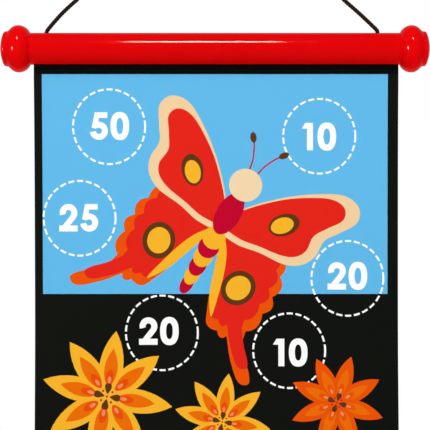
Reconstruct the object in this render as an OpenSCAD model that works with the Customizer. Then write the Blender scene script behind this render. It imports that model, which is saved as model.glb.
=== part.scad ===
// Roll-up magnetic dartboard: a cloth mat with an iron-filled core, held between two
// plastic bars with turned knobs, hanging by a cord from a hook.
// X runs to the right, Y into the wall and Z up. The origin is the point where the cord
// rests on its hook.

/* [Bars] */
// Outside diameter of each bar
bar_d = 17.8; // [17:0.1:18.4]
// Wall thickness of each bar
bar_wall = 1.3; // [1:0.1:1.5]
// Length of each bar between its knobs
bar_len = 206.4; // [206:0.2:260]
// Width of the slot that the cloth comes out of
slot_w = 2.4; // [2.2:0.1:3]
// Diameter of the hole that the cord goes through
cord_hole_d = 2.4; // [2.2:0.1:3]

/* [Knobs] */
// Largest diameter of a knob's bead
bead_d = 26.3; // [25:0.1:28]
// Distance from the bar's end to the bead's largest diameter
bead_x = 6.8; // [6.4:0.1:7.2]
// Radius of the bead's round outline on the bar's side
bead_round = 7.2; // [6.8:0.1:7.4]
// Radius of the bead's round outline on the disc's side
shoulder_round = 5.6; // [5.4:0.1:6]
// Slope of the bead's straight shoulder, in degrees
shoulder_deg = 42.7; // [40:0.1:46]
// Diameter of the disc at a knob's end
disc_d = 19.6; // [18.6:0.1:21]
// Height of the disc's domed face
dome_h = 3.2; // [2.8:0.1:3.4]
// Radius of the disc's rim
rim_round = 1.4; // [1.2:0.1:1.6]
// Length of a knob outside its bar
knob_len = 16.8; // [16:0.1:20]
// Length of the spigot pressed into the bar
spigot_len = 6; // [4:0.5:6]

/* [Mat] */
// Width of the mat
mat_w = 204; // [190:1:206]
// Height of cloth between the two bars
cloth_h = 235.7; // [150:0.1:400]
// Height of the sewn hem between a bar and the printed face
hem_h = 3.8; // [3:0.1:8]
// Thickness of the printed cloth
face_t = 0.4; // [0.2:0.1:0.6]
// Thickness of the iron-filled core
core_t = 0.6; // [0.4:0.1:1]
// Thickness of the cloth on the back
back_t = 0.4; // [0.2:0.1:0.6]
// Flexing gap between a bar and the mat's hem
flex_gap = 1.5; // [1.4:0.1:2]

/* [Rod pockets] */
// Diameter of the rod that holds the cloth in its bar
rod_d = 5; // [4:0.1:6]
// Thickness of the pocket's cloth
ply_t = 0.5; // [0.3:0.1:0.5]
// Length of the pocket
pocket_w = 184; // [160:1:188]
// Distance from the bar's axis to the rod's axis
rod_drop = 4.7; // [3.8:0.1:4.7]

/* [Seams] */
// Distance from one stitch to the next
stitch_pitch = 4; // [3:0.5:6]
// Length of one stitch
stitch_len = 3; // [2:0.1:3]
// Width of the thread
stitch_w = 0.6; // [0.3:0.1:0.8]
// Height of a stitch above the cloth
stitch_t = 0.2; // [0.1:0.05:0.3]

/* [Cord] */
// Diameter of the hanging cord
cord_d = 1.8; // [1.2:0.1:2]
// Height of the hook above the top bar's axis
hook_h = 94; // [93.8:0.1:94.4]
// Place of the left cord hole along the bar
left_hole_x = -94.5; // [-95:0.5:-94]
// Place of the right cord hole along the bar
right_hole_x = 91; // [90.5:0.5:91.5]
// Diameter of the knot inside the bar
knot_d = 4.6; // [4:0.1:5]

/* [Hidden] */
$fn = 96;

bar_r = bar_d / 2;
bore_r = bar_r - bar_wall;
mat_t = face_t + core_t + back_t;
front_y = -core_t / 2 - face_t;       // plane of the printed face
back_y = core_t / 2 + back_t;         // plane of the mat's back
top_z = -hook_h;                      // axis of the top bar
bottom_z = top_z - cloth_h - bar_d;   // axis of the bottom bar
hem_top = top_z - bar_r - flex_gap;   // line that the mat swings about
hem_bottom = bottom_z + bar_r + flex_gap;
face_top = hem_top - hem_h;
face_bottom = hem_bottom + hem_h;
neck_show = 0.4;                      // pocket cloth that stands out of a bar's slot
stub_show = 0.2;                      // cord end that stands out of its hole
cord_sides = 8;
ring_steps = 2;                       // rings in each stretch of the cord's route
overlap = 1;                          // how far cutting shapes run past the solid

// Route of the cord's middle line, from the left hole over the hook to the right hole.
cord_route = [
    [-93.8, 0, -83.7], [-91.7, 0, -81], [-89.1, 0, -78], [-86, 0, -74.6],
    [-82.2, 0, -70.9], [-77.4, 0, -66.6], [-67.4, 0, -57.6], [-55.6, 0, -47],
    [-43.8, 0, -36.3], [-31.9, 0, -25.6], [-20, 0, -15], [-10, 0, -6.1],
    [-4, 0, -0.8], [-2, 0, 0.5], [0, 0, 0.9], [2, 0, 0.5], [4, 0, -0.8],
    [10, 0, -6.5], [20, 0, -16.1], [32, 0, -27.8], [44, 0, -39.4],
    [58, 0, -53], [72, 0, -66.4], [79, 0, -72.6], [83.6, 0, -76.8],
    [87.6, 0, -80.6], [90.6, 0, -83.7]];

function tangent(path, i) =
    let (step = path[min(i + 1, len(path) - 1)] - path[max(i - 1, 0)]) step / norm(step);

// Point at t, from 0 to 1, on the smooth curve between b and c.
function between(a, b, c, d, t) =
    b + (c - a) * t / 2 + (2 * a - 5 * b + 4 * c - d) * t * t / 2
    + (3 * b - a - 3 * c + d) * t * t * t / 2;

function smooth(path, steps) = concat(
    [for (i = [0 : len(path) - 2]) for (s = [0 : steps - 1])
        between(path[max(i - 1, 0)], path[i], path[i + 1],
                path[min(i + 2, len(path) - 1)], s / steps)],
    [path[len(path) - 1]]);

// Corners of the ring around one point of a path that lies in the XZ plane.
function ring(path, i, radius, sides) =
    let (along = tangent(path, i), across = [-along[2], 0, along[0]])
    [for (k = [0 : sides - 1])
        let (turn = 360 * (k + 0.5) / sides)
        path[i] + radius * (cos(turn) * across + sin(turn) * [0, 1, 0])];

module swept_tube(path, radius, sides) {
    rings = len(path);
    points = [for (i = [0 : rings - 1]) each ring(path, i, radius, sides)];
    walls = [for (i = [0 : rings - 2]) for (k = [0 : sides - 1])
        let (next = (k + 1) % sides)
        [i * sides + k, (i + 1) * sides + k, (i + 1) * sides + next, i * sides + next]];
    first_cap = [[for (k = [0 : sides - 1]) k]];
    last_cap = [[for (k = [sides - 1 : -1 : 0]) (rings - 1) * sides + k]];
    polyhedron(points, concat(walls, first_cap, last_cap));
}

// Lays a flat outline, drawn in Y and Z, along X and centred on it.
module along_x(length) {
    translate([-length / 2, 0, 0]) rotate([90, 0, 90]) linear_extrude(length) children();
}

// side is -1 where the slot faces down and 1 where it faces up.
module bar_tube(side) {
    along_x(bar_len) difference() {
        circle(r = bar_r);
        circle(r = bore_r);
        translate([-slot_w / 2, side > 0 ? 0 : -bar_r - overlap])
            square([slot_w, bar_r + overlap]);
    }
}

module knob_outline() {
    rim_x = disc_d / 2 - rim_round;
    dome_round = (rim_x * rim_x + dome_h * dome_h - rim_round * rim_round)
        / (2 * (dome_h - rim_round));
    dome_edge = dome_round * rim_x / (dome_round - rim_round);
    rim_y = knob_len - dome_h;
    shoulder_x = bead_d / 2 - shoulder_round * (1 - cos(shoulder_deg));
    shoulder_y = bead_x + shoulder_round * sin(shoulder_deg);
    foot_y = shoulder_y + (shoulder_x - disc_d / 2) / tan(shoulder_deg);
    square([bar_r, bead_x]);
    intersection() {
        translate([bead_d / 2 - bead_round, bead_x]) circle(r = bead_round);
        square([bead_d, bead_x]);
    }
    translate([bead_d / 2 - shoulder_round, bead_x]) circle(r = shoulder_round);
    polygon([[0, bead_x], [shoulder_x, bead_x], [shoulder_x, shoulder_y], [disc_d / 2, foot_y],
        [0, foot_y]]);
    translate([0, bead_x]) square([disc_d / 2, rim_y - bead_x]);
    translate([rim_x, rim_y]) circle(r = rim_round);
    intersection() {
        translate([0, knob_len - dome_round]) circle(r = dome_round);
        translate([0, bead_x]) square([dome_edge, knob_len]);
    }
}

module knob() {
    rotate([0, 90, 0]) {
        rotate_extrude() knob_outline();
        translate([0, 0, -spigot_len]) cylinder(r = bore_r, h = spigot_len + overlap);
    }
}

module left_knob() { translate([-bar_len / 2, 0, 0]) mirror([1, 0, 0]) knob(); }

module right_knob() { translate([bar_len / 2, 0, 0]) knob(); }

module rod(side) {
    rod_len = pocket_w + 4;
    translate([-rod_len / 2, 0, side * rod_drop]) rotate([0, 90, 0])
        cylinder(d = rod_d, h = rod_len);
}

// Cloth folded round the rod, with its two plies side by side in the slot.
module rod_pocket(side) {
    loop_r = rod_d / 2 + ply_t;
    neck_end = bar_r + neck_show;
    along_x(pocket_w) difference() {
        union() {
            translate([0, side * rod_drop]) circle(r = loop_r);
            translate([-ply_t, side > 0 ? rod_drop : -neck_end])
                square([2 * ply_t, neck_end - rod_drop]);
        }
        translate([0, side * rod_drop]) circle(d = rod_d);
    }
}

module sheet(width, thickness, low, high, y) {
    translate([-width / 2, y, low]) cube([width, thickness, high - low]);
}

// A row of stitches on the front and on the back of a hem.
module seam(z) {
    count = floor((mat_w - stitch_pitch) / stitch_pitch);
    for (y = [front_y - stitch_t, back_y]) for (i = [0 : count - 1])
        translate([(i - (count - 1) / 2) * stitch_pitch - stitch_len / 2, y, z - stitch_w / 2])
            cube([stitch_len, stitch_t, stitch_w]);
}

// The knotted end of the cord under the bar's wall, with the stub that fills its hole.
module cord_knot(x) {
    translate([x, 0, top_z]) {
        translate([0, 0, bore_r - knot_d / 2 - 0.1]) sphere(d = knot_d);
        translate([0, 0, bore_r - knot_d / 2])
            cylinder(d = cord_d, h = bar_wall + knot_d / 2 + stub_show);
    }
}

module hanging_cord() {
    color([0.13, 0.09, 0.07])
        swept_tube(smooth(cord_route, ring_steps), cord_d / 2, cord_sides);
}

module left_cord_knot() { color([0.13, 0.09, 0.07]) cord_knot(left_hole_x); }

module right_cord_knot() { color([0.13, 0.09, 0.07]) cord_knot(right_hole_x); }

module top_tube() {
    color([0.87, 0.02, 0.03]) difference() {
        translate([0, 0, top_z]) bar_tube(-1);
        for (x = [left_hole_x, right_hole_x])
            translate([x, 0, top_z]) cylinder(d = cord_hole_d, h = bar_r + overlap);
    }
}

module top_left_knob() { color([0.88, 0.02, 0.03]) translate([0, 0, top_z]) left_knob(); }

module top_right_knob() { color([0.88, 0.02, 0.03]) translate([0, 0, top_z]) right_knob(); }

module top_rod() { color([0.85, 0.75, 0.58]) translate([0, 0, top_z]) rod(-1); }

module top_sleeve() { color([0.09, 0.09, 0.08]) translate([0, 0, top_z]) rod_pocket(-1); }

module top_hem() { color([0.08, 0.08, 0.07]) sheet(mat_w, mat_t, face_top, hem_top, front_y); }

module top_seam() { color([0.12, 0.12, 0.11]) seam((hem_top + face_top) / 2); }

module printed_face() {
    color([0.38, 0.73, 0.91]) sheet(mat_w, face_t, face_bottom, face_top, front_y);
}

module ferrous_core() {
    color([0.3, 0.3, 0.31]) sheet(mat_w, core_t, face_bottom, face_top, -core_t / 2);
}

module back_cloth() {
    color([0.1, 0.1, 0.1]) sheet(mat_w, back_t, face_bottom, face_top, core_t / 2);
}

module bottom_seam() { color([0.12, 0.12, 0.11]) seam((hem_bottom + face_bottom) / 2); }

module bottom_hem() {
    color([0.08, 0.08, 0.07]) sheet(mat_w, mat_t, hem_bottom, face_bottom, front_y);
}

module bottom_sleeve() {
    color([0.09, 0.09, 0.08]) translate([0, 0, bottom_z]) rod_pocket(1);
}

module bottom_rod() { color([0.85, 0.75, 0.58]) translate([0, 0, bottom_z]) rod(1); }

module bottom_tube() { color([0.87, 0.02, 0.03]) translate([0, 0, bottom_z]) bar_tube(1); }

module bottom_left_knob() {
    color([0.88, 0.02, 0.03]) translate([0, 0, bottom_z]) left_knob();
}

module bottom_right_knob() {
    color([0.88, 0.02, 0.03]) translate([0, 0, bottom_z]) right_knob();
}

hanging_cord();
left_cord_knot();
right_cord_knot();
top_tube();
top_left_knob();
top_right_knob();
top_rod();
top_sleeve();
top_hem();
top_seam();
printed_face();
ferrous_core();
back_cloth();
bottom_seam();
bottom_hem();
bottom_sleeve();
bottom_rod();
bottom_tube();
bottom_left_knob();
bottom_right_knob();
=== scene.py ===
"""Roll-up magnetic dartboard: printed cloth mat between two knobbed red bars, on a hanging cord."""
import math

import bmesh
import bpy
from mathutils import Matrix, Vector
from mathutils.geometry import delaunay_2d_cdt


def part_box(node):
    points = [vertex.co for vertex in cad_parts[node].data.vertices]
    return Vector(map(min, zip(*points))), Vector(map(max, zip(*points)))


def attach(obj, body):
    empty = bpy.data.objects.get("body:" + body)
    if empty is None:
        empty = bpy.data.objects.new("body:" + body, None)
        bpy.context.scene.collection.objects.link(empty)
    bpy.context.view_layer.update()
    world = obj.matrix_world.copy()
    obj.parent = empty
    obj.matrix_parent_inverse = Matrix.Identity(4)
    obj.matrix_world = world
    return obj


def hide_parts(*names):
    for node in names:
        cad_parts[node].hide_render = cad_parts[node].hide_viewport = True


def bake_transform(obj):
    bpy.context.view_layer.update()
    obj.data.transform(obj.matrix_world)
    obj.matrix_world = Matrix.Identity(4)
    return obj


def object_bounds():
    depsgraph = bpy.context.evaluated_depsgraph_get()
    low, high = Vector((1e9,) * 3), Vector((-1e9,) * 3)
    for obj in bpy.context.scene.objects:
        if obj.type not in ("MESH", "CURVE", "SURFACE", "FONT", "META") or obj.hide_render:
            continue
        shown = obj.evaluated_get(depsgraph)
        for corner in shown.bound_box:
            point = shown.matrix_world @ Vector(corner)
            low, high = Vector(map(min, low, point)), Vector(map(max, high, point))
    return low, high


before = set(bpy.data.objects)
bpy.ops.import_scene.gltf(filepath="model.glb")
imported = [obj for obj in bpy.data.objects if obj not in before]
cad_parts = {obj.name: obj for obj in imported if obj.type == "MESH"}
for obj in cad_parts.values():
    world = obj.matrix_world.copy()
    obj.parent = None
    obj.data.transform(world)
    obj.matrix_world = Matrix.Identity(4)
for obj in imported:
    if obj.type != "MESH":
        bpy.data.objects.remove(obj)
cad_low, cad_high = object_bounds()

MM = 0.001
TURN = 2 * math.pi

# ---------------------------------------------------------------- places, from the CAD frame
face_low, face_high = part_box("printed_face")
core_low, core_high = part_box("ferrous_core")
back_low, back_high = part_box("back_cloth")
top_hem_low, top_hem_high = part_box("top_hem")
bottom_hem_low, bottom_hem_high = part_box("bottom_hem")
tube_low, tube_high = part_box("top_tube")
lower_tube_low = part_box("bottom_tube")[0]
rod_low, rod_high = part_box("top_rod")
pocket_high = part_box("top_sleeve")[1]
bead_low, bead_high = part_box("top_right_knob")
left_knot_low, left_knot_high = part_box("left_cord_knot")
right_knot_low, right_knot_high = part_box("right_cord_knot")

# All of these come from the boxes, apart from the bar's wall and slot and the drop to the view's middle.
BAR_R = (tube_high.y - tube_low.y) / 2
BAR_HALF = tube_high.x
BAR_WALL = 1.3 * MM
BORE_R = BAR_R - BAR_WALL
SLOT_HALF = 1.2 * MM
SLOT_LIP = 0.35 * MM
TOP_Z = tube_high.z - BAR_R
BOTTOM_Z = lower_tube_low.z + BAR_R
ROD_R = (rod_high.y - rod_low.y) / 2
ROD_DROP = TOP_Z - (rod_high.z + rod_low.z) / 2
MAT_HALF = face_high.x
POCKET_HALF = pocket_high.x
HOLE_X = [(left_knot_low.x + left_knot_high.x) / 2, (right_knot_low.x + right_knot_high.x) / 2]
VIEW_Z = TOP_Z - 93 * MM

CREASE_DEG = 40
BACKWARD, BOTH_WAYS = -1, 0  # the ways that a sheet's thickness goes from the surface it is made from


# ---------------------------------------------------------------- camera
def make_camera():
    """Straight in front of the board, with a long lens."""
    distance = 0.75
    picture_side = 240.7 * MM
    sensor = 36
    data = bpy.data.cameras.new("camera")
    data.sensor_width = sensor
    data.lens = sensor * distance / picture_side
    data.clip_start = 0.01
    camera = bpy.data.objects.new("camera", data)
    camera.location = (0, -distance, VIEW_Z)
    camera.rotation_euler = (math.pi / 2, 0, 0)
    bpy.context.collection.objects.link(camera)
    bpy.context.scene.camera = camera


# ---------------------------------------------------------------- mesh helpers
def add_mesh(name, points, faces, materials, face_materials=None, sharp_deg=CREASE_DEG):
    """A smooth-shaded object from points and faces, with creases kept sharp."""
    mesh = bpy.data.meshes.new(name)
    mesh.from_pydata([tuple(p) for p in points], [], faces)
    for material in materials:
        mesh.materials.append(material)
    if face_materials:
        mesh.polygons.foreach_set("material_index", face_materials)
    mesh.validate()
    shade(mesh, sharp_deg)
    made = bpy.data.objects.new(name, mesh)
    bpy.context.collection.objects.link(made)
    return made


def shade(mesh, sharp_deg):
    """Smooth shading, apart from edges that bend by more than an angle."""
    mesh.shade_smooth()
    mesh.set_sharp_from_angle(angle=math.radians(sharp_deg))


def apply_modifiers(made, sharp_deg=CREASE_DEG):
    """Puts the modifiers' result into the object's own mesh."""
    graph = bpy.context.evaluated_depsgraph_get()
    mesh = bpy.data.meshes.new_from_object(made.evaluated_get(graph))
    made.modifiers.clear()
    made.data = mesh
    shade(mesh, sharp_deg)


def thicken(made, thickness, way, slots_on=0):
    """Gives a surface its thickness. Its back and rim take the material so many slots on, or the last."""
    solid = made.modifiers.new("thickness", "SOLIDIFY")
    solid.thickness = thickness
    solid.offset = way
    solid.use_even_offset = True
    solid.material_offset = slots_on
    solid.material_offset_rim = slots_on
    apply_modifiers(made)


def remember_flat(made, flat):
    """Stores where each point lies on the flat cloth, which the weave follows at every pose."""
    attribute = made.data.attributes.new("flat", "FLOAT_VECTOR", "POINT")
    attribute.data.foreach_set("vector", [c for p in flat for c in p])


def join(parts):
    """Joins lists of (points, faces) into one list of points and one of faces."""
    points, faces = [], []
    for part_points, part_faces in parts:
        start = len(points)
        points += part_points
        faces += [tuple(i + start for i in face) for face in part_faces]
    return points, faces


def grid_face(column, row, wide):
    """One square of a grid whose rows hold so many points."""
    first = row * wide + column
    return (first, first + 1, first + wide + 1, first + wide)


def ring_faces(ring, following, count):
    """The squares between two rings, each given by the number of its first point."""
    faces = []
    for k in range(count):
        beside = (k + 1) % count
        faces.append((ring + k, ring + beside, following + beside, following + k))
    return faces


def end_faces(rings, count):
    """The two flat ends of a row of rings."""
    last = (rings - 1) * count
    return [tuple(reversed(range(count))), tuple(range(last, last + count))]


def sweep(path, radius, sides, closed=False):
    """A round tube along a path, with flat ends or closed on itself."""
    count = len(path)
    points, faces = [], []
    normal = None
    for i, centre in enumerate(path):
        before = path[i - 1] if i or closed else path[0]
        after = path[(i + 1) % count] if i < count - 1 or closed else path[-1]
        along = (after - before).normalized()
        if normal is None:
            normal = along.orthogonal().normalized()
        normal = (normal - along * normal.dot(along)).normalized()
        across = along.cross(normal)
        for k in range(sides):
            turn = TURN * k / sides
            points.append(centre + radius * (math.cos(turn) * normal + math.sin(turn) * across))
    for i in range(count if closed else count - 1):
        faces += ring_faces(i * sides, (i + 1) % count * sides, sides)
    if not closed:
        faces += end_faces(count, sides)
    return points, faces


def smooth_path(points, steps):
    """A smooth curve through points, with that many steps between each two."""
    made = []
    for i in range(len(points) - 1):
        a, b = points[max(i - 1, 0)], points[i]
        c, d = points[i + 1], points[min(i + 2, len(points) - 1)]
        for s in range(steps):
            t = s / steps
            made.append(b + (c - a) * t / 2 + (2 * a - 5 * b + 4 * c - d) * t * t / 2
                        + (3 * b - a - 3 * c + d) * t ** 3 / 2)
    return made + [points[-1].copy()]


def evenly(path, step):
    """Points a step apart along a path."""
    made, left = [path[0]], step
    for a, b in zip(path, path[1:]):
        stretch = (b - a).length
        while stretch >= left:
            a = a + (b - a) * (left / stretch)
            made.append(a)
            stretch = (b - a).length
            left = step
        left -= stretch
    return made + [path[-1]]


# ---------------------------------------------------------------- materials
class Surface:
    """A Principled material and short ways to feed its inputs from nodes."""

    def __init__(self, name, roughness, specular):
        self.material = bpy.data.materials.new(name)
        self.material.use_nodes = True
        self.tree = self.material.node_tree
        self.shader = self.tree.nodes["Principled BSDF"]
        self.shader.inputs["Roughness"].default_value = roughness
        self.shader.inputs["Specular IOR Level"].default_value = specular

    def node(self, kind, **settings):
        made = self.tree.nodes.new(kind)
        for key, value in settings.items():
            setattr(made, key, value)
        return made

    def link(self, source, target):
        self.tree.links.new(source, target)

    def place(self, flat=False):
        """Coordinates on the piece, in metres: on the flat cloth, or in its own space."""
        if flat:
            return self.node("ShaderNodeAttribute", attribute_name="flat").outputs["Vector"]
        return self.node("ShaderNodeTexCoord").outputs["Object"]

    def stretched(self, vector, scale):
        """The same place, with each axis scaled."""
        mapping = self.node("ShaderNodeMapping")
        mapping.inputs["Scale"].default_value = scale
        self.link(vector, mapping.inputs["Vector"])
        return mapping.outputs["Vector"]

    def noise(self, vector, scale, detail=3):
        made = self.node("ShaderNodeTexNoise")
        made.inputs["Scale"].default_value = scale
        made.inputs["Detail"].default_value = detail
        self.link(vector, made.inputs["Vector"])
        return made.outputs["Fac"]

    def maths(self, operation, first, second=None):
        made = self.node("ShaderNodeMath", operation=operation)
        for socket, value in zip(made.inputs, (first, second)):
            if value is None:
                continue
            if isinstance(value, (int, float)):
                socket.default_value = value
            else:
                self.link(value, socket)
        return made.outputs[0]

    def weave(self, vector, pitch):
        """Height of a plain weave, from 0 to 1, with threads a pitch apart along X and Z."""
        parts = self.node("ShaderNodeSeparateXYZ")
        self.link(vector, parts.inputs[0])
        waves = [self.maths("SINE", self.maths("MULTIPLY", parts.outputs[axis], TURN / pitch))
                 for axis in ("X", "Z")]
        product = self.maths("MULTIPLY", *waves)
        return self.maths("MULTIPLY", self.maths("ADD", product, 1.0), 0.5)

    def between(self, factor, low, high):
        """A factor from 0 to 1, brought between two values."""
        made = self.node("ShaderNodeMapRange")
        made.inputs["To Min"].default_value = low
        made.inputs["To Max"].default_value = high
        self.link(factor, made.inputs["Value"])
        return made.outputs["Result"]

    def colours(self, factor, dark, light):
        """Mixes the base colour from two by a factor."""
        made = self.node("ShaderNodeMix", data_type="RGBA")
        made.inputs["A"].default_value = (*dark, 1)
        made.inputs["B"].default_value = (*light, 1)
        self.link(factor, made.inputs["Factor"])
        self.link(made.outputs["Result"], self.shader.inputs["Base Color"])

    def rough(self, factor, low, high):
        self.link(self.between(factor, low, high), self.shader.inputs["Roughness"])

    def bump(self, height, distance, strength):
        """Makes the surface look raised where the height is greater."""
        made = self.node("ShaderNodeBump")
        made.inputs["Distance"].default_value = distance
        made.inputs["Strength"].default_value = strength
        self.link(height, made.inputs["Height"])
        self.link(made.outputs["Normal"], self.shader.inputs["Normal"])


def shaded(colour, factor):
    """A colour made darker or lighter."""
    return tuple(c * factor for c in colour)


def glossy_plastic(name, colour, smoothest, roughest):
    """Moulded plastic: smooth and glossy, with a faint ripple and hairline rub marks."""
    surface = Surface(name, roughness=0.1, specular=0.25)
    place = surface.place()
    surface.colours(surface.noise(place, scale=30), shaded(colour, 0.95), shaded(colour, 1.04))
    rubs = surface.noise(surface.stretched(place, (1, 14, 14)), scale=260, detail=5)
    surface.rough(rubs, smoothest, roughest)
    surface.bump(surface.noise(place, scale=300, detail=2), distance=0.02 * MM, strength=0.06)
    return surface.material


def printed_cloth(name, colour):
    """Flat ink on coated cloth: the fine weave shows faintly through a satin print."""
    surface = Surface(name, roughness=0.6, specular=0.04)
    surface.shader.inputs["Base Color"].default_value = (*colour, 1)
    place = surface.place(flat=True)
    weave = surface.weave(place, pitch=0.55 * MM)
    mottle = surface.noise(place, scale=90, detail=4)
    surface.rough(mottle, 0.5, 0.7)
    height = surface.maths("ADD", weave, surface.maths("MULTIPLY", mottle, 0.8))
    surface.bump(height, distance=0.03 * MM, strength=0.5)
    return surface.material


def woven_cloth(name, colour, pitch, depth):
    """Plain dyed cloth, with a visible weave and a little fuzz; its colour has painted shade between the
    threads and painted light on their crowns.
    """
    surface = Surface(name, roughness=0.9, specular=0.05)
    place = surface.place(flat=True)
    weave = surface.weave(place, pitch)
    fibres = surface.noise(place, scale=2600)
    height = surface.maths("ADD", weave, surface.maths("MULTIPLY", fibres, 0.5))
    # The colour follows the weave's height: painted shade in the hollows between threads, painted light on
    # the raised threads and fuzz.
    surface.colours(surface.maths("MULTIPLY", height, 0.66), shaded(colour, 0.6), shaded(colour, 1.6))
    surface.rough(fibres, 0.8, 1.0)
    surface.bump(height, depth, strength=0.7)
    return surface.material


def spun(name, colour, scale):
    """Thread or cord: dull fibres whose tone varies, with painted light where they stand out and painted
    shade between them.
    """
    surface = Surface(name, roughness=0.8, specular=0.05)
    fibres = surface.noise(surface.stretched(surface.place(), (1, 1.6, 1)), scale, detail=4)
    # The colour follows the fibres' bump height: painted light on the raised fibres, painted shade between
    # them.
    surface.colours(fibres, shaded(colour, 0.45), shaded(colour, 1.9))
    surface.rough(fibres, 0.7, 0.95)
    surface.bump(fibres, distance=0.08 * MM, strength=0.8)
    return surface.material


def bare_wood(name):
    """A turned birch rod, with grain along it."""
    surface = Surface(name, roughness=0.6, specular=0.3)
    grain = surface.noise(surface.stretched(surface.place(), (0.05, 1, 1)), scale=900, detail=6)
    surface.colours(grain, (0.42, 0.27, 0.13), (0.72, 0.56, 0.36))
    surface.rough(grain, 0.5, 0.75)
    surface.bump(grain, distance=0.05 * MM, strength=0.4)
    return surface.material


def filled_rubber(name):
    """Rubber sheet full of iron powder: dark, with fine grey specks."""
    surface = Surface(name, roughness=0.6, specular=0.3)
    specks = surface.noise(surface.place(), scale=4200, detail=2)
    surface.colours(surface.maths("POWER", specks, 3.0), (0.02, 0.02, 0.022), (0.16, 0.16, 0.17))
    surface.rough(specks, 0.45, 0.7)
    surface.bump(specks, distance=0.03 * MM, strength=0.5)
    return surface.material


# The last ink is the cloth's own colour, which its back and rim show too.
INKS = {
    "blue": (0.119, 0.485, 0.815),
    "white": (0.98, 0.98, 0.98),
    "cream": (0.88, 0.62, 0.345),
    "pale": (0.89, 0.67, 0.41),
    "red": (0.77, 0.017, 0.009),
    "crimson": (0.53, 0.0006, 0.026),
    "yellow": (0.93, 0.455, 0.022),
    "orange": (0.83, 0.086, 0.0005),
    "amber": (0.84, 0.150, 0.0005),
    "rust": (0.83, 0.074, 0.0005),
    "blush": (0.85, 0.27, 0.11),
    "brown": (0.115, 0.036, 0.009),
    "magenta": (0.53, 0.0005, 0.03),
    "green": (0.0008, 0.125, 0.032),
    "black": (0.0056, 0.0067, 0.0050),
}

RED_BAR = glossy_plastic("red_bar", (0.74, 0.0010, 0.0020), smoothest=0.02, roughest=0.08)
RED_KNOB = glossy_plastic("red_knob", (0.82, 0.0012, 0.0022), smoothest=0.0, roughest=0.03)
BLACK_CLOTH = woven_cloth("black_cloth", (0.0035, 0.0035, 0.003), pitch=0.7 * MM, depth=0.06 * MM)
BACK_CLOTH = woven_cloth("back_cloth", (0.010, 0.010, 0.010), pitch=0.9 * MM, depth=0.12 * MM)
THREAD = spun("thread", (0.007, 0.007, 0.0065), scale=2400)
CORD = spun("cord", (0.019, 0.012, 0.0075), scale=2600)
WOOD = bare_wood("birch")
RUBBER = filled_rubber("iron_rubber")


# ---------------------------------------------------------------- hanging cord
CORD_D = 1.8 * MM
CORD_ROUTE = [Vector((x * MM, 0, z * MM)) for x, z in [
    (-93.8, -83.7), (-91.7, -81), (-89.1, -78), (-86, -74.6), (-82.2, -70.9), (-77.4, -66.6),
    (-67.4, -57.6), (-55.6, -47), (-43.8, -36.3), (-31.9, -25.6), (-20, -15), (-10, -6.1),
    (-4, -0.8), (-2, 0.5), (0, 0.9), (2, 0.5), (4, -0.8), (10, -6.5), (20, -16.1),
    (32, -27.8), (44, -39.4), (58, -53), (72, -66.4), (79, -72.6), (83.6, -76.8),
    (87.6, -80.6), (90.6, -83.7)]]


def strand(path, phase, lay, offset, radius, sides):
    """One strand of a laid cord: it winds round the path once for each lay."""
    turned, gone = [], 0.0
    for i, centre in enumerate(path):
        if i:
            gone += (centre - path[i - 1]).length
        along = (path[min(i + 1, len(path) - 1)] - path[max(i - 1, 0)]).normalized()
        side = Vector((0, 1, 0))
        across = along.cross(side).normalized()
        turn = phase + TURN * gone / lay
        turned.append(centre + offset * (math.cos(turn) * side + math.sin(turn) * across))
    return sweep(turned, radius, sides)


def make_cord():
    """Three strands laid into a cord, from one knot up over the hook and down to the other."""
    strands, lay, ring_step, sides = 3, 4.6 * MM, 0.35 * MM, 10
    strand_offset, strand_r = CORD_D * 0.32, CORD_D * 0.355
    knot_z = (left_knot_low.z + left_knot_high.z) / 2
    wall_z = tube_high.z - 0.6 * MM
    ends = [[Vector((x, 0, knot_z)), Vector((x, 0, wall_z))] for x in HOLE_X]
    path = evenly(smooth_path(ends[0] + CORD_ROUTE + ends[1][::-1], steps=8), ring_step)
    points, faces = join([strand(path, TURN * k / strands, lay, strand_offset, strand_r, sides)
                          for k in range(strands)])
    cord = add_mesh("cord_strands", points, faces, [CORD], sharp_deg=180)
    knots = [make_knot(side, x) for side, x in zip(("left", "right"), HOLE_X)]
    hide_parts("hanging_cord")
    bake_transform(cord)


def make_knot(side, x):
    """An overhand knot drawn tight under the bar's wall: a trefoil, wider than it is tall."""
    node = f"{side}_cord_knot"
    low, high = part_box(node)
    knot_r = (high.y - low.y) / 2
    centre = Vector((x, 0, low.z + knot_r))
    size = knot_r - CORD_D * 0.45
    flatness = 0.62
    steps, sides = 72, 10
    path = []
    for i in range(steps):
        turn = TURN * i / steps
        reach = size * (0.66 + 0.34 * math.cos(3 * turn))
        rise = size * flatness * math.sin(3 * turn)
        path.append(centre + Vector((reach * math.cos(2 * turn), reach * math.sin(2 * turn), rise)))
    points, faces = sweep(path, CORD_D * 0.4, sides, closed=True)
    knot = add_mesh(f"{side}_knot", points, faces, [CORD], sharp_deg=180)
    finish_rigid(knot, node, "top_bar")
    return knot


# ---------------------------------------------------------------- bars and knobs
def arc(centre_x, centre_y, radius, start_deg, end_deg, steps):
    """Points on an arc, both ends included."""
    made = []
    for i in range(steps + 1):
        turn = math.radians(start_deg + (end_deg - start_deg) * i / steps)
        made.append((centre_x + radius * math.cos(turn), centre_y + radius * math.sin(turn)))
    return made


def lip_arc(radius, place_deg, start_deg, end_deg):
    """A rounded corner of the slot, whose centre is given by its distance and angle from the axis."""
    place = math.radians(place_deg)
    centre = (radius * math.cos(place), radius * math.sin(place))
    return arc(*centre, SLOT_LIP, start_deg, end_deg, 5)[1:]


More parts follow.
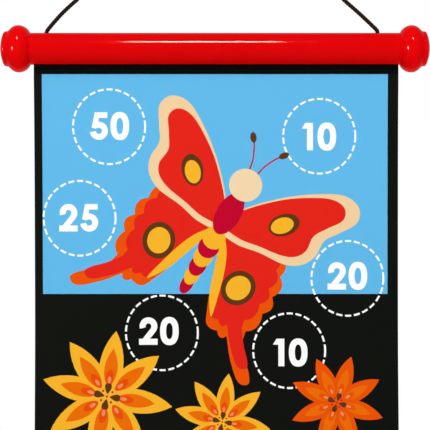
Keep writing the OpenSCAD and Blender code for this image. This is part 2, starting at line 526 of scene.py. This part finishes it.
def bar_outline():
    """The slotted tube's section in Y and Z, with its slot down and the slot's lips rounded."""
    outer_r, inner_r = BAR_R - SLOT_LIP, BORE_R + SLOT_LIP
    outer_gap = math.degrees(math.asin((SLOT_HALF + SLOT_LIP) / outer_r))
    inner_gap = math.degrees(math.asin((SLOT_HALF + SLOT_LIP) / inner_r))
    right, left = -90 + outer_gap, 270 - outer_gap
    inner_right, inner_left = -90 + inner_gap, 270 - inner_gap
    outline = arc(0, 0, BAR_R, right, left, 120)
    outline += lip_arc(outer_r, left, left, 360)
    outline += lip_arc(inner_r, inner_left, 360, inner_left + 180)
    outline += arc(0, 0, BORE_R, inner_left, inner_right, 90)[1:]
    outline += lip_arc(inner_r, inner_right, inner_right - 180, -180)
    outline += lip_arc(outer_r, right, -180, right)
    return outline[:-1]


def make_bar(name, node, body, axis_z, slot_up, holes):
    """A glossy slotted tube, with a countersunk hole for each end of the cord."""
    outline = bar_outline()
    count = len(outline)
    lengths, crease_deg = 24, 35
    stations = [-BAR_HALF + 2 * BAR_HALF * i / lengths for i in range(lengths + 1)]
    turn = -1 if slot_up else 1
    points = [Vector((x * turn, y, axis_z + z * turn)) for x in stations for y, z in outline]
    faces = []
    for i in range(lengths):
        faces += ring_faces(i * count, (i + 1) * count, count)
    faces += end_faces(lengths + 1, count)
    bar = add_mesh(name, points, faces, [RED_BAR], sharp_deg=crease_deg)
    for x in holes:
        cut_hole(bar, x, axis_z, crease_deg)
    finish_rigid(bar, node, body)


def cut_hole(bar, x, axis_z, crease_deg):
    """Drills down through the bar's wall, with a small countersink."""
    hole_r, mouth_r = 1.3 * MM, 1.8 * MM
    tip, sink_start, sink_end, top = 3 * MM, BAR_R - 0.45 * MM, BAR_R + 0.05 * MM, BAR_R + 1 * MM
    profile = [(0, tip), (hole_r, tip), (hole_r, sink_start), (mouth_r, sink_end), (mouth_r, top), (0, top)]
    points, faces = lathe(profile, segments=40)
    drill = add_mesh("drill", [Vector((x + p.y, p.z, axis_z + p.x)) for p in points], faces, [])
    cut = bar.modifiers.new("hole", "BOOLEAN")
    cut.operation = "DIFFERENCE"
    cut.solver = "EXACT"
    cut.object = drill
    apply_modifiers(bar, crease_deg)
    bpy.data.objects.remove(drill)


def lathe(profile, segments):
    """Turns a profile of (radius, distance) about the X axis, from pole to pole."""
    points, faces, rings = [], [], []
    for radius, distance in profile:
        if radius <= 0:
            rings.append([len(points)])
            points.append(Vector((distance, 0, 0)))
            continue
        rings.append(list(range(len(points), len(points) + segments)))
        points += [Vector((distance, radius * math.cos(TURN * k / segments),
                           radius * math.sin(TURN * k / segments))) for k in range(segments)]
    for low, high in zip(rings, rings[1:]):
        for k in range(segments):
            beside = (k + 1) % segments
            ring = [low[k % len(low)], low[beside % len(low)], high[beside % len(high)], high[k % len(high)]]
            faces.append(tuple(dict.fromkeys(reversed(ring))))
    return points, faces


def knob_profile():
    """Half of a knob's outline: spigot, round bead, groove, and a disc with a domed face."""
    bead_r = (bead_high.z - bead_low.z) / 2
    length = bead_high.x - BAR_HALF
    spigot = BAR_HALF - bead_low.x
    bead_x, bead_round = 6.8 * MM, 7.2 * MM
    shoulder_round, shoulder_deg = 5.6 * MM, 42.7
    disc_r, dome = 9.8 * MM, 3.2 * MM
    rim, rim_starts_deg = 1.4 * MM, 76
    groove, chamfer, ease = 0.12 * MM, 0.12 * MM, 0.3 * MM
    bead_y = bead_r - bead_round
    meets_bar = math.degrees(math.asin((BAR_R - bead_y) / bead_round))
    rim_r, rim_x = disc_r - rim, length - dome
    dome_round = (rim_r ** 2 + dome ** 2 - rim ** 2) / (2 * (dome - rim))
    dome_deg = math.degrees(math.asin(rim_r / (dome_round - rim)))
    profile = [(0, -spigot), (BORE_R - ease, -spigot), (BORE_R, -spigot + ease),
               (BORE_R, 0), (BAR_R - chamfer, 0), (BAR_R, chamfer)]
    bead = arc(bead_x, bead_y, bead_round, 180 - meets_bar, 90, 24)
    bead += arc(bead_x, bead_r - shoulder_round, shoulder_round, 90, 90 - shoulder_deg, 14)[1:]
    profile += [(radius, x) for x, radius in bead]
    shoulder_x, shoulder_r = bead[-1]
    groove_x = shoulder_x + (shoulder_r - disc_r + groove) / math.tan(math.radians(shoulder_deg))
    disc_edge = [(groove, 0), (0.03 * MM, 0.05 * MM), (0, 0.15 * MM), (0.06 * MM, 0.45 * MM)]
    profile += [(disc_r - inset, groove_x + along) for inset, along in disc_edge]
    crown = arc(rim_x, rim_r, rim, rim_starts_deg, dome_deg, 12)
    crown += arc(length - dome_round, 0, dome_round, dome_deg, 0, 12)[1:-1]
    profile += [(radius, x) for x, radius in crown]
    return profile + [(0, length)]


def make_knobs(body, axis_z, prefix):
    """The two knobs that close a bar's ends."""
    points, faces = lathe(knob_profile(), segments=96)
    for side, turn in (("left", -1), ("right", 1)):
        placed = [Vector((turn * (BAR_HALF + p.x), turn * p.y, axis_z + p.z)) for p in points]
        knob = add_mesh(f"{prefix}_{side}_end_knob", placed, faces, [RED_KNOB], sharp_deg=32)
        finish_rigid(knob, f"{prefix}_{side}_knob", body)


def finish_rigid(made, node, body):
    """Hides the CAD node that a piece stands in for, and parents the piece to the body that it moves with."""
    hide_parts(node)
    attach(made, body)


def finish_rods():
    """The two rods keep their CAD shape and get a wood surface."""
    for name in ("top_rod", "bottom_rod"):
        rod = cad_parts[name]
        rod.data.materials.clear()
        rod.data.materials.append(WOOD)


# ---------------------------------------------------------------- the mat's shape
def share_down(z):
    """How far down the print a height is, from 0 at its top to 1 at its bottom."""
    return min(max((face_high.z - z) / (face_high.z - face_low.z), 0), 1)


def off_centre(z):
    """The mat was sewn a little to the right of the bars' middle."""
    return (0.6 + 0.4 * share_down(z)) * MM


def hung(x, y, z):
    """Where a flat mat's point hangs: drawn in a little at mid height, and in soft waves front to back."""
    drawn_in, wave_depth, wave_length = 0.0054, 0.7 * MM, 0.17
    down = share_down(z)
    swell = math.sin(math.pi * down)
    across_wave = 0.55 * math.sin(TURN * (x / wave_length + down * 0.35))
    down_wave = 0.5 * math.sin(TURN * down * 1.5 + 1.1)
    lift = (across_wave + down_wave) * swell * wave_depth
    return Vector((x * (1 - drawn_in * swell) + off_centre(z), y + lift, z))


def grid_sheet(name, half_width, low, high, material):
    """A plain sheet in the place of a node's box, hanging as the rest of the mat does."""
    columns, rows = 60, 66
    flat = [(half_width * (2 * i / columns - 1), 0, low.z + (high.z - low.z) * j / rows)
            for j in range(rows + 1) for i in range(columns + 1)]
    faces = [grid_face(i, j, columns + 1) for j in range(rows) for i in range(columns)]
    sheet = add_mesh(name, [hung(x, low.y, z) for x, _, z in flat], faces, [material])
    remember_flat(sheet, flat)
    thicken(sheet, high.y - low.y, BACKWARD)
    return sheet


# ---------------------------------------------------------------- the printed picture
# Its shapes are in millimetres, from the top of the print's middle line, with y up.
PRINT_SHIFT = 0.7  # how far the cloth's middle lies to the right of the print's
PRINT_SPACING = 5.0  # between the points that let straight edges and plain areas bend with the cloth


def ellipse(x, y, long, wide, tilt_deg=0, steps=40):
    """An oval about (x, y), with its two radii, the first one at a tilt."""
    tilt = math.radians(tilt_deg)
    c, s = math.cos(tilt), math.sin(tilt)
    made = []
    for i in range(steps):
        turn = TURN * i / steps
        a, b = long * math.cos(turn), wide * math.sin(turn)
        made.append((x + a * c - b * s, y + a * s + b * c))
    return made


def curve(points, steps=8):
    """A smooth open curve through the points."""
    return [(p.x, p.y) for p in smooth_path([Vector(p) for p in points], steps)]


def loop(points, steps=8):
    """A smooth closed outline through the points."""
    count = len(points)
    around = [Vector(points[i % count]) for i in range(-2, count + 3)]
    return [(p.x, p.y) for p in smooth_path(around, steps)[2 * steps:(2 + count) * steps]]


def scalloped(points, bumps, depth):
    """A curve through the points, with round bumps on its left-hand side."""
    line = smooth_path([Vector(p) for p in points], 12)
    made = []
    for i, p in enumerate(line):
        along = line[min(i + 1, len(line) - 1)] - line[max(i - 1, 0)]
        out = Vector((-along.y, along.x)).normalized()
        made.append(p + out * depth * abs(math.sin(math.pi * bumps * i / (len(line) - 1))))
    return [(p.x, p.y) for p in made]


def band(line, width):
    """A stripe of a given width along a line."""
    line = [Vector(p) for p in line]
    sides = [[], []]
    for i, p in enumerate(line):
        along = (line[min(i + 1, len(line) - 1)] - line[max(i - 1, 0)]).normalized()
        out = Vector((-along.y, along.x)) * width / 2
        sides[0].append(tuple(p + out))
        sides[1].append(tuple(p - out))
    return sides[0] + sides[1][::-1]


def rectangle(left, low, right, high):
    """A rectangle's outline, with points along its sides."""
    corners = [Vector((left, low)), Vector((right, low)), Vector((right, high)), Vector((left, high))]
    made = []
    for a, b in zip(corners, corners[1:] + corners[:1]):
        steps = round((b - a).length / PRINT_SPACING)
        made += [tuple(a.lerp(b, i / steps)) for i in range(steps)]
    return made


def squircle(wide, high, power, start_deg, end_deg, steps=20):
    """Part of a rounded oval about the origin."""
    made = []
    for i in range(steps + 1):
        turn = math.radians(start_deg + (end_deg - start_deg) * i / steps)
        c, s = math.cos(turn), math.sin(turn)
        x = wide * math.copysign(abs(c) ** (2 / power), c)
        y = high * math.copysign(abs(s) ** (2 / power), s)
        made.append((x, y))
    return made


# Each digit gives its width and the overlapping outlines it is made of, on a base line at y = 0.
DIGIT_H = 15.4
DIGIT_GAP = 1.4
STROKE = 3.4


def digit_zero():
    wide, high = 5.25, DIGIT_H / 2 + 0.2
    halves = []
    for start, end in ((-90, 90), (90, 270)):
        outer = squircle(wide, high, 2.35, start, end)
        inner = squircle(wide - STROKE, high - STROKE, 2.25, end, start)
        halves.append([(x + wide, y + DIGIT_H / 2) for x, y in outer + inner])
    return 2 * wide, halves


def digit_one():
    left, space_after = 3, 1.1
    right, flag_right, flag_low = left + STROKE, left + 0.1, DIGIT_H - 3.3
    stem = [(left, 0), (right, 0), (right, DIGIT_H), (left, DIGIT_H)]
    flag = [(0, flag_low), (flag_right, flag_low), (flag_right, DIGIT_H), (2, DIGIT_H)]
    return right + space_after, [stem, flag]


def digit_two():
    bowl = band(arc(5.3, DIGIT_H - 5, 3.3, 197, -36, 28), STROKE)
    slope = [(0, 0), (4, 0), (6, 3.3), (9.35, 7.35), (8, 9.2), (6.6, 9.2), (0, 0.9)]
    foot = [(0, 0), (10.4, 0), (10.4, STROKE), (0, STROKE)]
    return 10.4, [bowl, slope, foot]


def digit_five():
    top = [(2.8, DIGIT_H - 3.2), (9.9, DIGIT_H - 3.2), (9.9, DIGIT_H), (2.8, DIGIT_H)]
    stem = [(2.8, DIGIT_H), (5.1, DIGIT_H), (4.9, 9.9), (5.1, 6.9), (4.1, 6.8), (3.4, 6.1), (1.05, 6.8)]
    bowl = band(arc(5.1, 5, 3.4, 118, -173, 30), STROKE)
    return 10.2, [top, stem, bowl]


DIGITS = {"0": digit_zero, "1": digit_one, "2": digit_two, "5": digit_five}


def number(text, x, y):
    """A bold number centred on a place."""
    made, right = [], 0
    for character in text:
        width, shapes = DIGITS[character]()
        made += [[(px + right, py) for px, py in shape] for shape in shapes]
        right += width + DIGIT_GAP
    middle = (right - DIGIT_GAP) / 2
    return [("white", [(px - middle + x, py - DIGIT_H / 2 + y) for px, py in shape]) for shape in made]


# Each target's number, its ring's centre, and how far the number lies from that centre
TARGETS = [("50", -59.3, -29.4, 0.2, 0.4), ("25", -76.1, -80.6, -0.5, 0.3), ("10", 58.5, -34.7, -0.2, -0.2),
           ("20", 74.3, -114.2, 0, 1.4), ("20", -30, -144.7, -1.7, 1), ("10", 41.5, -154.7, 0.6, -1)]


def target(text, x, y, shift_x, shift_y):
    """A dashed ring with its number. The ring's first and last dashes meet at its right."""
    dashes, dash_deg, dash_w = 26, 9.7, 1.1
    long_r, ring_squeeze = 20.9, 0.967
    pitch = (360 - dash_deg) / (dashes - 1)
    shapes = []
    for k in range(dashes):
        line = arc(0, 0, long_r, pitch * k, pitch * k + dash_deg, 4)
        shapes.append(("white", band([(px * ring_squeeze + x, py + y) for px, py in line], dash_w)))
    return shapes + number(text, x + shift_x, y + shift_y)


# Each flower's middle, its petals' length, its first petal's turn, and its ink
FLOWERS = [(-60.8, -180.3, 37, 8, "yellow"), (3.8, -194.5, 27.3, 8, "yellow"),
           (68.2, -183.7, 27, 17.5, "orange")]


def turned(shape, x, y, size, turn_deg):
    """A shape drawn along +y at size 1, scaled, turned clockwise and moved."""
    turn = math.radians(-turn_deg)
    c, s = math.cos(turn) * size, math.sin(turn) * size
    return [(x + px * c - py * s, y + px * s + py * c) for px, py in shape]


def leaf_shape(base, tip, half_width, steps=12):
    """A leaf along +y, pointed at both ends: each side is one Bezier curve, at its widest near half way."""
    widest = 0.77  # of the curve itself, so that half_width is the leaf's own
    right = []
    for i in range(steps + 1):
        t = i / steps
        second, third = 3 * t * (1 - t) ** 2, 3 * t * t * (1 - t)
        out = (second * 1.05 + third) / widest
        along = second * 0.2 + third * 0.68 + t ** 3
        right.append((half_width * out, base + (tip - base) * along))
    left = [(-px, py) for px, py in right[1:-1]]
    return right + left[::-1]


PETAL_TURNS = [0, 44, 91, 138, 184, 231, 277, 317.5]


def flower(x, y, size, first_deg, ink):
    """A stem, eight petals with warmer middles and a pale glint on each, and seeds at the centre."""
    deep = "rust" if ink == "yellow" else "orange"
    stem = [(x + 1, y), (x + 2.2, y - size * 0.5), (x + 1, -face_mm())]
    dot_r = 0.018
    dot = ellipse(0, 0.105, dot_r, dot_r, 0, 12)
    every_petal, seeds, dots = PETAL_TURNS, PETAL_TURNS[::2], PETAL_TURNS[1::2]
    layers = [(ink, leaf_shape(0, 1, 0.182), every_petal),
              ("amber", leaf_shape(0.15, 0.73, 0.1), every_petal),
              (deep, ellipse(0, 0.285, 0.125, 0.06, 90, 24), every_petal),
              ("blush", ellipse(0, 0.255, 0.052, 0.027, 90, 20), every_petal),
              ("brown", seed_shape(), seeds),
              ("magenta", dot, dots)]
    shapes = [("green", band(stem, 2.6))]
    for kind, shape, turns in layers:
        shapes += [(kind, turned(shape, x, y, size, first_deg + turn)) for turn in turns]
    return shapes + [("magenta", ellipse(x, y, size * dot_r, size * dot_r, 0, 12))]


def seed_shape():
    """A drop along +y with its point at the flower's middle."""
    return loop([(0, 0.04), (0.03, 0.085), (0.052, 0.14), (0.042, 0.188), (0, 0.198), (-0.042, 0.188),
                 (-0.052, 0.14), (-0.03, 0.085)], 4)


def face_mm():
    """The print's height in millimetres."""
    return (face_high.z - face_low.z) / MM


def wings():
    """Right-hand wing shapes of a plain swallowtail butterfly, with its head along +y."""
    hind = scalloped([(38, 1), (43, -8), (45, -20), (45, -31), (42, -44)], 4, 2.8)
    hind += curve([(43, -49), (50, -58), (56, -64), (58.5, -68.5), (55, -71), (50, -69), (41.5, -61),
                   (35, -53)], 6)
    hind += scalloped([(34, -52), (28, -52), (19, -49)], 2, 2.2)
    hind += curve([(15, -40), (10, -26), (6, -12), (2, 0), (20, 4)], 6)
    inside = [(px * 0.9 + 0.4, py * 0.92 + 1.5) for px, py in hind]
    crescent = loop([(3, -4), (9, -10), (14, -20), (18, -33), (21, -47), (14, -37), (9.5, -25), (5.5, -13)])
    fore = loop([(0, -2), (6, 14), (22, 31), (38, 43), (51, 49.5), (61, 48), (64.5, 40), (59, 30), (54, 22),
                 (54, 12), (50, 4), (41, -1), (26, -2.5), (12, -5)])
    red = loop([(0, 1), (6, 13), (22, 29.5), (38, 40.5), (48, 44.5), (55, 43), (57, 37), (52, 29), (47.5, 21),
                (48, 12), (44.5, 6), (37, 2.5), (24, 0.5), (12, -1.5)])
    return [("orange", hind), ("red", inside), ("yellow", crescent),
            ("brown", ellipse(26, -25.5, 10.3, 9.2, 70)), ("yellow", ellipse(26, -25.5, 7.4, 6.5, 70)),
            ("cream", fore), ("red", red),
            ("brown", ellipse(30, 18, 9, 6.1, 48)), ("yellow", ellipse(29.3, 17.2, 6.6, 4.4, 48))]


def butterfly(x, y, lean_deg):
    """A butterfly seen from above, leaning clockwise."""
    tail_rings, ring_pitch = 6, 5.9
    shapes = []
    for ink, shape in wings():
        shapes += [(ink, shape), (ink, [(-px, py) for px, py in shape][::-1])]
    for k in reversed(range(tail_rings)):
        width = 6.6 - 0.62 * k
        shapes.append((("yellow", "crimson")[k % 2], ellipse(0, -8.5 - ring_pitch * k, 6.3, width, 90)))
    shapes.append(("crimson", ellipse(0, 7.5, 13, 6.9, 90)))
    for side in (-1, 1):
        feeler = curve([(side * 2.4, 33), (side * 3.6, 39.5), (side * 6.4, 46), (side * 8.6, 49.4)])
        shapes.append(("crimson", band(feeler, 0.9)))
        shapes.append(("brown", ellipse(side * 10, 51.2, 3, 1.75, 90 - side * 38, 20)))
    shapes.append(("pale", ellipse(0, 26, 9.4, 9.2)))
    return [(ink, turned(shape, x, y, 1, lean_deg)) for ink, shape in shapes]


def picture():
    """Every inked shape in the order it is printed, each later one over the ones before."""
    left, right, low = PRINT_SHIFT - MAT_HALF / MM, PRINT_SHIFT + MAT_HALF / MM, -face_mm()
    blue_half, blue_low, blue_high = 96.8, -122.9, -0.02
    shapes = [("black", rectangle(left, low, right, 0)),
              ("blue", rectangle(-blue_half, blue_low, blue_half, blue_high))]
    for place in TARGETS:
        shapes += target(*place)
    for place in FLOWERS:
        shapes += flower(*place)
    return shapes + butterfly(3.8, -84.4, 31)


def anticlockwise(shape):
    """The same outline, with its inside on the left."""
    area = sum(x1 * y2 - x2 * y1 for (x1, y1), (x2, y2) in zip(shape, shape[1:] + shape[:1]))
    return shape if area > 0 else shape[::-1]


def make_face():
    """The printed cloth: one sheet, divided along the edges of its inks."""
    shapes = picture()
    points, outlines = [], []
    for _, shape in shapes:
        outlines.append(list(range(len(points), len(points) + len(shape))))
        points += [Vector(p) for p in anticlockwise(shape)]
    half, height = MAT_HALF / MM, face_mm()
    columns, rows = int(2 * half / PRINT_SPACING), int(height / PRINT_SPACING)
    points += [Vector((PRINT_SHIFT + half * (2 * i / columns - 1), -height * j / rows))
               for i in range(1, columns) for j in range(1, rows)]
    inside_only, tolerance = 1, 1e-5
    cut, _, faces, _, _, sources = delaunay_2d_cdt(points, [], outlines, inside_only, tolerance, True)
    names = list(INKS)
    slots, kept = [], []
    for face, source in zip(faces, sources):
        if source:
            kept.append(tuple(face))
            slots.append(names.index(shapes[max(source)][0]))
    flat = [((p.x - PRINT_SHIFT) * MM, 0, face_high.z + p.y * MM) for p in cut]
    materials = [printed_cloth(f"ink_{name}", INKS[name]) for name in names]
    hung_points = [hung(x, face_low.y, z) for x, _, z in flat]
    face = add_mesh("target_print", hung_points, kept, materials, slots, sharp_deg=180)
    remember_flat(face, flat)
    thicken(face, face_high.y - face_low.y, BACKWARD, len(materials))
    face.visible_glossy = False
    finish_rigid(face, "printed_face", "mat")


def make_core_and_back():
    """The iron-filled sheet behind the print, and the plain cloth behind that."""
    inset = 0.25 * MM
    core = grid_sheet("iron_sheet", MAT_HALF - inset, core_low, core_high, RUBBER)
    finish_rigid(core, "ferrous_core", "mat")
    back = grid_sheet("plain_back", MAT_HALF, back_low, back_high, BACK_CLOTH)
    finish_rigid(back, "back_cloth", "mat")


# ---------------------------------------------------------------- hems and rod pockets
def hem_path(side, bar_edge):
    """The strip's middle line in Y and Z, from its front edge round the rod to its back edge."""
    hem_low, hem_high = (top_hem_low, top_hem_high) if side < 0 else (bottom_hem_low, bottom_hem_high)
    edge, start = (hem_low.z, hem_high.z) if side < 0 else (hem_high.z, hem_low.z)
    ply, neck_ply = (hem_high.y - hem_low.y) / 4, 0.27 * MM
    axis_z = TOP_Z if side < 0 else BOTTOM_Z
    rod_z = axis_z + side * ROD_DROP
    loop_r = ROD_R + 0.28 * MM
    open_deg = math.degrees(math.asin(neck_ply / loop_r))
    neck_start = start - side * 0.6 * MM
    neck_end = rod_z + side * loop_r * math.cos(math.radians(open_deg))
    neck = [neck_start, (neck_start + bar_edge) / 2, bar_edge, (bar_edge + neck_end) / 2]
    rows = 6
    front = [(-ply, edge + (start - edge) * i / rows) for i in range(rows)]
    front.append((-ply + (ply - neck_ply) * 0.5, start))
    front += [(-neck_ply, z) for z in neck]
    round_rod = [(y, rod_z - side * z) for y, z in arc(0, 0, loop_r, 270 - open_deg, -90 + open_deg, 36)]
    back = [(-y, z) for y, z in reversed(front)]
    return front + round_rod + back


def make_hem(name, side, nodes):
    """A cloth strip sewn to the mat and folded round the rod inside the bar. side is -1 at the top."""
    thickness, tolerance = 0.46 * MM, 1e-6
    bar_edge = (TOP_Z if side < 0 else BOTTOM_Z) + side * (BAR_R - 0.5 * MM)
    path = hem_path(side, bar_edge)
    lengths = [0.0]
    for a, b in zip(path, path[1:]):
        lengths.append(lengths[-1] + math.dist(a, b))
    columns = 102
    stations = [MAT_HALF * (2 * i / columns - 1) for i in range(columns + 1)]
    points, flat = [], []
    for (y, z), gone in zip(path, lengths):
        for x in stations:
            points.append(Vector((x + off_centre(z), y, z)))
            flat.append((x, 0, gone))
    faces = []
    for j in range(len(path) - 1):
        in_bar = ((path[j + 1][1] + path[j][1]) / 2 - bar_edge) * side < 0
        for i in range(columns):
            if in_bar and max(abs(stations[i]), abs(stations[i + 1])) > POCKET_HALF + tolerance:
                continue
            face = grid_face(i, j, columns + 1)
            faces.append(face if side < 0 else face[::-1])
    hem = add_mesh(name, points, faces, [BLACK_CLOTH])
    remember_flat(hem, flat)
    remove_loose(hem)
    thicken(hem, thickness, BOTH_WAYS)
    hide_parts(*nodes)
    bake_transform(hem)


def remove_loose(made):
    """Drops the points that no face uses."""
    work = bmesh.new()
    work.from_mesh(made.data)
    bmesh.ops.delete(work, geom=[v for v in work.verts if not v.link_faces], context="VERTS")
    work.to_mesh(made.data)
    work.free()


def make_seam(name, node, z):
    """A row of lockstitches, on the front and on the back of a hem."""
    pitch, length, thread_r = 4 * MM, 3.1 * MM, 0.24 * MM
    rise, sink, lean = 0.12 * MM, 0.22 * MM, 0.1 * MM
    steps, sides = 8, 8
    count = int((2 * MAT_HALF - pitch) / pitch)
    parts = []
    for face_y, out in ((top_hem_low.y, -1), (top_hem_high.y, 1)):
        for i in range(count):
            middle = (i - (count - 1) / 2) * pitch
            path = []
            for s in range(steps + 1):
                t = 2 * s / steps - 1
                lift = rise * (1 - t ** 4) - sink * t ** 4
                path.append(Vector((middle + t * length / 2, face_y + out * lift, z + lean * t * out)))
            parts.append(sweep(path, thread_r, sides))
    points, faces = join(parts)
    seam = add_mesh(name, points, faces, [THREAD], sharp_deg=60)
    finish_rigid(seam, node, "mat")


# ---------------------------------------------------------------- floor, lights and room
def make_stage():
    """A round white floor, well below the board because the board hangs on a wall.

    It glows more towards its edge, so that it runs into the white backdrop.
    """
    below, reach, sides = 0.75, 4.6, 96
    surface = Surface("pale_floor", roughness=0.9, specular=0.2)
    place = surface.place()
    surface.colours(surface.noise(place, scale=3), (0.88, 0.88, 0.87), (0.92, 0.92, 0.91))
    distance = surface.node("ShaderNodeVectorMath", operation="LENGTH")
    surface.link(place, distance.inputs[0])
    glow = surface.between(surface.maths("DIVIDE", distance.outputs["Value"], reach), 0.4, 0.85)
    surface.shader.inputs["Emission Color"].default_value = (1, 1, 1, 1)
    surface.link(glow, surface.shader.inputs["Emission Strength"])
    rim = [(x, y, 0) for x, y in ellipse(0, 0, reach, reach, 0, sides)]
    floor = add_mesh("floor", rim, [tuple(range(sides))], [surface.material])
    floor.location.z = cad_low.z - below
    floor.visible_glossy = False


def add_light(name, target_point, offset, size, watts):
    """A soft oval light, at an offset from the point that it shines at."""
    data = bpy.data.lights.new(name, "AREA")
    data.shape = "ELLIPSE"
    data.size, data.size_y = size
    data.energy = watts
    light = bpy.data.objects.new(name, data)
    light.location = target_point + Vector(offset)
    direction = target_point - light.location
    light.rotation_euler = direction.to_track_quat("-Z", "Y").to_euler()
    bpy.context.collection.objects.link(light)
    return light


def make_lights():
    """A key light, a fill behind the board, and two boxes that are seen only as reflections."""
    middle, bar = Vector((0, 0, VIEW_Z)), Vector((0, 0, TOP_Z))
    key = add_light("key", middle, (-0.3, -1.27, 1.52), (1.3, 1.0), 29.5)
    fill = add_light("fill", middle, (0.7, 1.3, 0.9), (1.2, 1.0), 9)
    for soft in (key, fill):
        soft.visible_glossy = False
    high = add_light("high_box", bar, (-0.02, -1.06, 1.06), (0.27, 0.24), 8)
    left = add_light("left_box", bar, (-0.94, -0.88, -0.03), (0.19, 0.24), 8)
    for box in (high, left):
        box.data.color = (1, 0.91, 0.7)
        box.visible_diffuse = False


def make_room():
    """A white backdrop, and a dim room for light and reflections, paler behind the board in reflections."""
    lit, mirrored, mirrored_wall = 0.28, 0.04, 0.25
    wall_starts, wall_full = 0.35, 0.85
    world = bpy.data.worlds.new("studio")
    bpy.context.scene.world = world
    world.use_nodes = True
    nodes, links = world.node_tree.nodes, world.node_tree.links
    backdrop = nodes["Background"]
    room = nodes.new("ShaderNodeBackground")
    for background in (backdrop, room):
        background.inputs["Color"].default_value = (1, 1, 1, 1)
    ray = nodes.new("ShaderNodeLightPath")
    direction = nodes.new("ShaderNodeSeparateXYZ")
    links.new(nodes.new("ShaderNodeTexCoord").outputs["Generated"], direction.inputs[0])
    wall = nodes.new("ShaderNodeMapRange")
    for socket, value in (("From Min", wall_starts), ("From Max", wall_full), ("To Min", mirrored),
                          ("To Max", mirrored_wall)):
        wall.inputs[socket].default_value = value
    links.new(direction.outputs["Y"], wall.inputs["Value"])
    strength = nodes.new("ShaderNodeMapRange")
    strength.inputs["To Min"].default_value = lit
    links.new(wall.outputs["Result"], strength.inputs["To Max"])
    links.new(ray.outputs["Is Glossy Ray"], strength.inputs["Value"])
    links.new(strength.outputs["Result"], room.inputs["Strength"])
    mix = nodes.new("ShaderNodeMixShader")
    links.new(ray.outputs["Is Camera Ray"], mix.inputs[0])
    links.new(room.outputs[0], mix.inputs[1])
    links.new(backdrop.outputs[0], mix.inputs[2])
    links.new(mix.outputs[0], nodes["World Output"].inputs["Surface"])
    bpy.context.scene.view_settings.view_transform = "Standard"


# ---------------------------------------------------------------- assembly
make_camera()
make_cord()
make_bar("top_bar_tube", "top_tube", "top_bar", TOP_Z, False, HOLE_X)
make_bar("bottom_bar_tube", "bottom_tube", "bottom_bar", BOTTOM_Z, True, [])
make_knobs("top_bar", TOP_Z, "top")
make_knobs("bottom_bar", BOTTOM_Z, "bottom")
finish_rods()
make_hem("top_hem_cloth", -1, ("top_sleeve", "top_hem"))
make_hem("bottom_hem_cloth", 1, ("bottom_sleeve", "bottom_hem"))
make_seam("top_stitches", "top_seam", (top_hem_low.z + top_hem_high.z) / 2)
make_seam("bottom_stitches", "bottom_seam", (bottom_hem_low.z + bottom_hem_high.z) / 2)
make_face()
make_core_and_back()
make_stage()
make_lights()
make_room()
